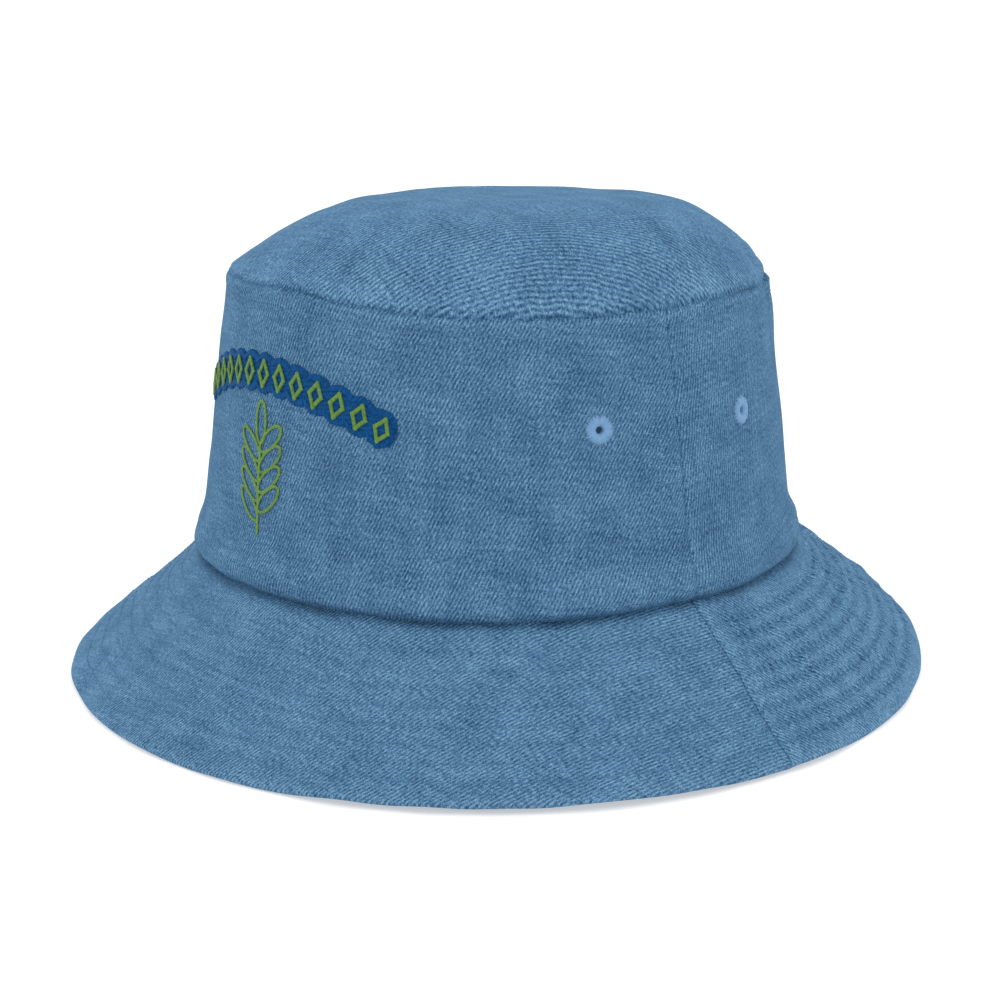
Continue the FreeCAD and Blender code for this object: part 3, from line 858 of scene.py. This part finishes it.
def stitched_row(place, length, lift, dip):
    """One row's points and outward directions."""
    lines = row_of_stitches(place, length, lift, dip)
    raised = row_of_stitches(place, length, lift + 0.5, dip)
    return lines, unit(raised - lines)


def make_sewing(looks):
    """The topstitching under the top seam and the quilting on both faces of the brim."""
    up = 1 - TOPSTITCH_DROP / CROWN_HEIGHT
    length = TURN * TOPSTITCH_RADIUS
    lines, ups = stitched_row(lambda a, out: wall(a, up + 0 * a, out), length, 0.06, 0.28)
    piece = threads("crown_topstitching", lines, ups, SEWING_WIDTH, SEWING_HEIGHT, looks["sewing_thread"])
    settle(piece, "crown_topstitch_thread")
    under = -2 * DENIM - INTERLINING - 2 * PLY_GAP
    for node, lift, dip, sign in (("brim_quilting_thread", 0.03, 0.28, 1),
                                  ("brim_bobbin_thread", under - 0.03, -0.28, -1)):
        rows, outs = [], []
        for row in range(QUILTING_ROWS):
            slant = BRIM_SLANT - QUILTING_EDGE - row * QUILTING_PITCH
            length = TURN * (QUILTING_ROOT + QUILTING_GROWTH * slant)
            lines, ups = stitched_row(lambda a, out: brim(a, slant + 0 * a, out), length, lift, dip)
            rows.append(lines)
            outs.append(ups * sign)
        piece = threads(node + "_stitches", np.concatenate(rows), np.concatenate(outs),
                        SEWING_WIDTH, SEWING_HEIGHT, looks["sewing_thread"])
        settle(piece, node)


def make_eyelets(looks):
    """Satin rings whose threads run over the cloth, through the hole and out behind."""
    reach = np.array([1.0, 0.86, 0.62, 0.42, 0.31, 0.29, 0.31, 0.42, 0.66, 0.92])
    lift = np.array([0.02, 0.50, 0.74, 0.66, 0.20, -0.45, -1.10, -1.50, -1.50, -1.05])
    random = np.random.default_rng(SEED)
    for node, (centre, height) in EYELETS.items():
        count = EYELET_STITCHES
        turn = (np.arange(count) + random.uniform(-0.25, 0.25, count)) / count * TURN
        radius = EYELET_RADIUS * (reach[None, :] * (1 + random.uniform(-0.05, 0.05, (count, 1))))
        lean = np.linspace(0, 0.22, len(reach))[None, :]
        beside = radius * np.cos(turn[:, None] + lean)
        above = radius * np.sin(turn[:, None] + lean)
        angles = centre + beside / EYELET_TURN_RADIUS
        ups = height + above / CROWN_HEIGHT
        lines = wall(angles, ups, np.broadcast_to(lift, angles.shape))
        middle = wall(np.array(centre), np.array(height), -DENIM / 2)
        outward = oval_normal(np.array(centre))
        side = lines - middle
        side = side - outward * (side @ outward)[..., None]
        inner = np.clip((0.5 - reach) * 6, 0, 1)[None, :, None]
        facing = np.where(lift > -0.45, 1.0, -1.0)[None, :, None]
        normal = unit(outward * facing * (1 - inner) - unit(side) * inner + 1e-6)
        piece = threads(node + "_satin", lines, normal, 0.46, 0.40, looks["eyelet_thread"], taper=0.5)
        settle(piece, node)


# ---- embroidery
def front_point(across, z, lift):
    """A point on the crown's front, by its distance round from the middle and its height."""
    across, z, lift = matched(across, z, lift)
    up = (z - SEAM_Z) / CROWN_HEIGHT
    radius = BASE_LONG + (TOP_LONG - BASE_LONG) * up - 1.5
    return wall(FRONT + across / radius, up, lift)


def front_threads(name, starts, ends, lift, arch, width, height, material, steps=7):
    """Straight stitches on the crown's front between flat points (across, z)."""
    share = np.linspace(0, 1, steps)[None, :, None]
    flat = starts[:, None] + (ends - starts)[:, None] * share
    rise = lift + arch * (1 - (2 * share[..., 0] - 1) ** 4) - 0.15
    rise = np.broadcast_to(rise, flat.shape[:2])
    lines = front_point(flat[..., 0], flat[..., 1], rise)
    normals = unit(front_point(flat[..., 0], flat[..., 1], rise + 0.5) - lines)
    return threads(name, lines, normals, width, height, material)


BAND_TOP = 19.0
BAND_HEIGHT = 12.0
BAND_RADIUS = 122.0
BAND_HALF = math.radians(24.0)
BAND_MIDDLE = BAND_RADIUS - BAND_HEIGHT / 2
FILL_ROWS = 24
FILL_STEP = 3.6
FILL_STITCH = 4.0
FILL_SHIFT = 1.2
BORDER_PITCH = 0.40
BORDER_WIDTH = 2.3
LOZENGES = 13
LOZENGE_PITCH = 2 * BAND_HALF / (LOZENGES - 1)
LOZENGE_RISE = 3.6
LOZENGE_REACH = 2.3
SPRIG_TOP = 33.0
SPRIG_HEIGHT = 40.0
LEAFLETS = 8
LEAFLET_FIRST = 1.4
LEAFLET_SPREAD = 1.0
LEAFLET_LENGTH = 13.0
LEAFLET_WIDTH = 5.2
LEAFLET_TILT = math.radians(50)
SPRIG_STITCH = 1.5


def band_flat(turn, radius):
    """A point on the arched band as its distance round from the middle and its height."""
    top_z = SEAM_Z + CROWN_HEIGHT - BAND_TOP
    return np.stack([radius * np.sin(turn), top_z - BAND_RADIUS + radius * np.cos(turn)], -1)


def scallop(turn):
    """How far the band's edge stands from its middle line, with a lobe about each lozenge."""
    place = np.abs((turn / LOZENGE_PITCH + 0.5) % 1 - 0.5)
    lobe = BAND_HEIGHT / 2 - 3.4 * (2 * place) ** 2.2 * 0.42
    over = np.maximum(np.abs(turn) - BAND_HALF, 0) / LOZENGE_PITCH
    return lobe * np.sqrt(np.maximum(1 - (over / 0.62) ** 2, 0.02))


def make_band(looks):
    """The arched ground: a low fill along the arch with a raised satin border."""
    random = np.random.default_rng(SEED + 1)
    middle = BAND_MIDDLE
    last = BAND_HALF + 0.6 * LOZENGE_PITCH
    starts, ends = [], []
    for row in range(FILL_ROWS):
        level_share = (row + 0.5) / FILL_ROWS * 2 - 1
        edges = np.arange(-last, last, FILL_STEP / middle) + (row % 3) * FILL_SHIFT / middle
        for begin in edges:
            finish = min(begin + FILL_STITCH / middle, last)
            centre = (begin + finish) / 2
            if scallop(np.array(centre)) < abs(level_share) * BAND_HEIGHT / 2 + 0.4:
                continue
            radius = middle + level_share * BAND_HEIGHT / 2
            starts.append(band_flat(begin, radius))
            ends.append(band_flat(finish, radius))
    fill = front_threads("embroidery_band_fill", np.array(starts), np.array(ends),
                         0.12, 0.20, 0.62, 0.36, looks["blue_thread"], 5)
    turns = np.arange(-last, last, BORDER_PITCH / middle)
    turns = turns + random.uniform(-0.08, 0.08, len(turns)) / middle
    edge_starts, edge_ends = [], []
    for side in (-1, 1):
        reach = scallop(turns) + random.uniform(-0.25, 0.25, len(turns))
        lean = 0.35 / middle
        edge_starts.append(band_flat(turns + lean, middle + side * reach))
        edge_ends.append(band_flat(turns - lean, middle + side * np.maximum(reach - BORDER_WIDTH, 0.1)))
    border = front_threads("embroidery_band_satin", np.concatenate(edge_starts),
                           np.concatenate(edge_ends), 0.15, 0.48, 0.50, 0.42, looks["blue_thread"])
    settle(border, "embroidery_band")
    settle(fill, "embroidery_band")


def stroke(starts, ends, width, pitch, slant):
    """Satin stitches that lie across straight strokes between flat points."""
    firsts, seconds = [], []
    for start, end in zip(starts, ends):
        way = end - start
        length = np.linalg.norm(way)
        way = way / length
        side = np.array([-way[1], way[0]]) + way * slant
        places = np.arange(-width * 0.3, length + width * 0.3, pitch)
        middles = start + way * places[:, None]
        firsts.append(middles - side * width / 2)
        seconds.append(middles + side * width / 2)
    return np.concatenate(firsts), np.concatenate(seconds)


def make_lozenges(looks):
    """A row of plain hollow lozenges in raised satin stitch on the band."""
    middle = BAND_MIDDLE
    wide = LOZENGE_REACH / middle
    starts, ends = [], []
    for index in range(LOZENGES):
        turn = BAND_HALF * (2 * index / (LOZENGES - 1) - 1)
        corners = [band_flat(turn, middle + LOZENGE_RISE), band_flat(turn + wide, middle),
                   band_flat(turn, middle - LOZENGE_RISE), band_flat(turn - wide, middle)]
        starts += corners
        ends += corners[1:] + corners[:1]
    firsts, seconds = stroke(starts, ends, 1.35, 0.36, 0.25)
    piece = front_threads("embroidery_lozenges_satin", firsts, seconds, 0.75, 0.30, 0.44, 0.40,
                          looks["green_thread"], 5)
    settle(piece, "embroidery_lozenges")


def leaflet_outline(foot, tilt, length, width):
    """A closed oval leaflet, as flat points."""
    turn = np.linspace(0, TURN, 61)
    along = length * (1 - np.cos(turn)) / 2
    side = width * 0.47 * np.sin(turn)
    return np.stack([foot[0] + along * math.sin(tilt) + side * math.cos(tilt),
                     foot[1] + along * math.cos(tilt) - side * math.sin(tilt)], -1)


def running(points, pitch):
    """Even steps along a flat line."""
    lengths = np.concatenate([[0], np.cumsum(np.linalg.norm(np.diff(points, axis=0), axis=1))])
    count = max(int(round(lengths[-1] / pitch)), 2)
    places = np.linspace(0, lengths[-1], count + 1)
    return np.stack([np.interp(places, lengths, points[:, 0]),
                     np.interp(places, lengths, points[:, 1])], -1)


def make_sprig(looks):
    """A plain sprig in heavy running stitch: a stem with oval leaflets on alternate sides."""
    top = SEAM_Z + CROWN_HEIGHT - SPRIG_TOP
    foot = top - SPRIG_HEIGHT
    tip = top - LEAFLET_LENGTH
    lines = [np.stack([np.zeros(40), np.linspace(foot, tip, 40)], -1)]
    lines.append(leaflet_outline((0, tip), 0, LEAFLET_LENGTH, LEAFLET_WIDTH))
    for index in range(LEAFLETS):
        z = foot + (tip - foot) * (index + LEAFLET_FIRST) / (LEAFLETS + LEAFLET_SPREAD)
        tilt = LEAFLET_TILT if index % 2 else -LEAFLET_TILT
        lines.append(leaflet_outline((0, z), tilt, LEAFLET_LENGTH, LEAFLET_WIDTH))
    starts, ends = [], []
    for line in lines:
        dots = running(line, SPRIG_STITCH)
        way = np.diff(dots, axis=0)
        side = np.stack([-way[:, 1], way[:, 0]], -1)
        for offset, skew in ((0.14, 0.05), (-0.14, -0.05)):
            starts.append(dots[:-1] - way * 0.12 + side * (offset - skew))
            ends.append(dots[1:] + way * 0.12 + side * (offset + skew))
    piece = front_threads("embroidery_sprig_stitches", np.concatenate(starts), np.concatenate(ends),
                          0.22, 0.30, 0.58, 0.50, looks["green_thread"])
    settle(piece, "embroidery_sprig")


def make_label(looks):
    """A blank loop of ribbon that hangs from its sewn edge, with the thread that holds it."""
    low, high = node_box("care_label")
    width = high[0] - low[0]
    length = high[2] - low[2]
    across, down = grid(np.linspace(-width / 2, width / 2, 24), np.linspace(0, length, 34))
    share = down / down.max()
    middle = (low[1] + high[1]) / 2
    bow = 0.5 * np.sin(share * 2.6) + 0.18 * np.sin(across * 0.5 + share * 4) * share
    centre = np.stack([across, middle - bow, high[2] - down], -1)
    thick = 0.17 + 0.05 * bell(share - 1, 0.05)
    back = centre + np.stack([0 * thick, thick, 0 * thick], -1)
    face = centre - np.stack([0 * thick, thick, 0 * thick], -1)
    cloth = np.stack([across, down, 50 + 0 * down], -1)
    piece = shell("care_label_ribbon", face, back, cloth, [looks["label_satin"]])
    settle(piece, "care_label", "label")
    low, high = node_box("care_label_thread")
    count = 8
    places = np.linspace(low[0], high[0], count + 1)
    share = np.linspace(0.05, 0.95, 5)
    x = places[:-1, None] + np.diff(places)[:, None] * share
    y = (low[1] + high[1]) / 2 + 0 * x
    z = (low[2] + high[2]) / 2 + 0 * x
    piece = threads("care_label_stitches", np.stack([x, y, z], -1), (0.0, -1.0, 0.0), 0.35, 0.3,
                    looks["sewing_thread"])
    settle(piece, "care_label_thread")


# ---- stage, light, camera
CAMERA_TURN = math.radians(49.13)
CAMERA_RISE = math.radians(16.36)
CAMERA_DISTANCE = 850.0
CAMERA_LENS = 93.6
CAMERA_SHIFT = 0.002
AIM_HEIGHT = 51.4
FLOOR_HALF = 12.0
FLOOR_GLOW = 0.45


def direction(turn, rise):
    """The way from the hat to a place turned from the front towards the left, and raised."""
    return Vector((math.sin(turn) * math.cos(rise), -math.cos(turn) * math.cos(rise), math.sin(rise)))


def make_camera():
    """A studio view of the hat's front left, a little from above."""
    data = bpy.data.cameras.new("camera")
    data.lens = CAMERA_LENS
    data.sensor_width = 36
    data.shift_x = CAMERA_SHIFT
    data.clip_start = 0.01
    data.clip_end = 50
    camera = add_object("camera", data)
    aim = Vector((0, 0, AIM_HEIGHT * MM))
    back = direction(CAMERA_TURN, CAMERA_RISE)
    camera.location = aim + back * CAMERA_DISTANCE * MM
    camera.rotation_euler = (-back).to_track_quat("-Z", "Y").to_euler()
    bpy.context.scene.camera = camera


def soft_light(name, turn, rise, spread, power):
    """A broad soft light from one direction; angles in degrees."""
    data = bpy.data.lights.new(name, "SUN")
    data.angle = math.radians(spread)
    data.energy = power
    light = add_object(name, data)
    source = direction(math.radians(turn), math.radians(rise))
    light.rotation_euler = (-source).to_track_quat("-Z", "Y").to_euler()


def make_stage():
    """A plain pale floor and an even bright surround."""
    mesh = bpy.data.meshes.new("floor")
    half = FLOOR_HALF
    mesh.from_pydata([(-half, -half, 0), (half, -half, 0), (half, half, 0), (-half, half, 0)], [],
                     [(0, 1, 2, 3)])
    floor = add_object("floor", mesh)
    paper = Graph("floor_paper", roughness=0.9, specular=0.1)
    paper.shader.inputs["Base Color"].default_value = (0.62, 0.62, 0.62, 1)
    paper.shader.inputs["Emission Color"].default_value = (1, 1, 1, 1)
    paper.shader.inputs["Emission Strength"].default_value = FLOOR_GLOW
    mesh.materials.append(paper.material)
    world = bpy.data.worlds.new("studio")
    bpy.context.scene.world = world
    world.use_nodes = True
    surround = world.node_tree.nodes["Background"]
    surround.inputs[0].default_value = (1, 1, 1, 1)
    surround.inputs[1].default_value = 1.0
    soft_light("overhead", 40, 70, 60, 0.8)
    bpy.context.scene.view_settings.view_transform = "Standard"


looks = make_materials()
for make in (make_walls, make_dome, make_brim, make_linings, make_sewing, make_eyelets, make_band,
             make_lozenges, make_sprig, make_label):
    make(looks)
make_camera()
make_stage()
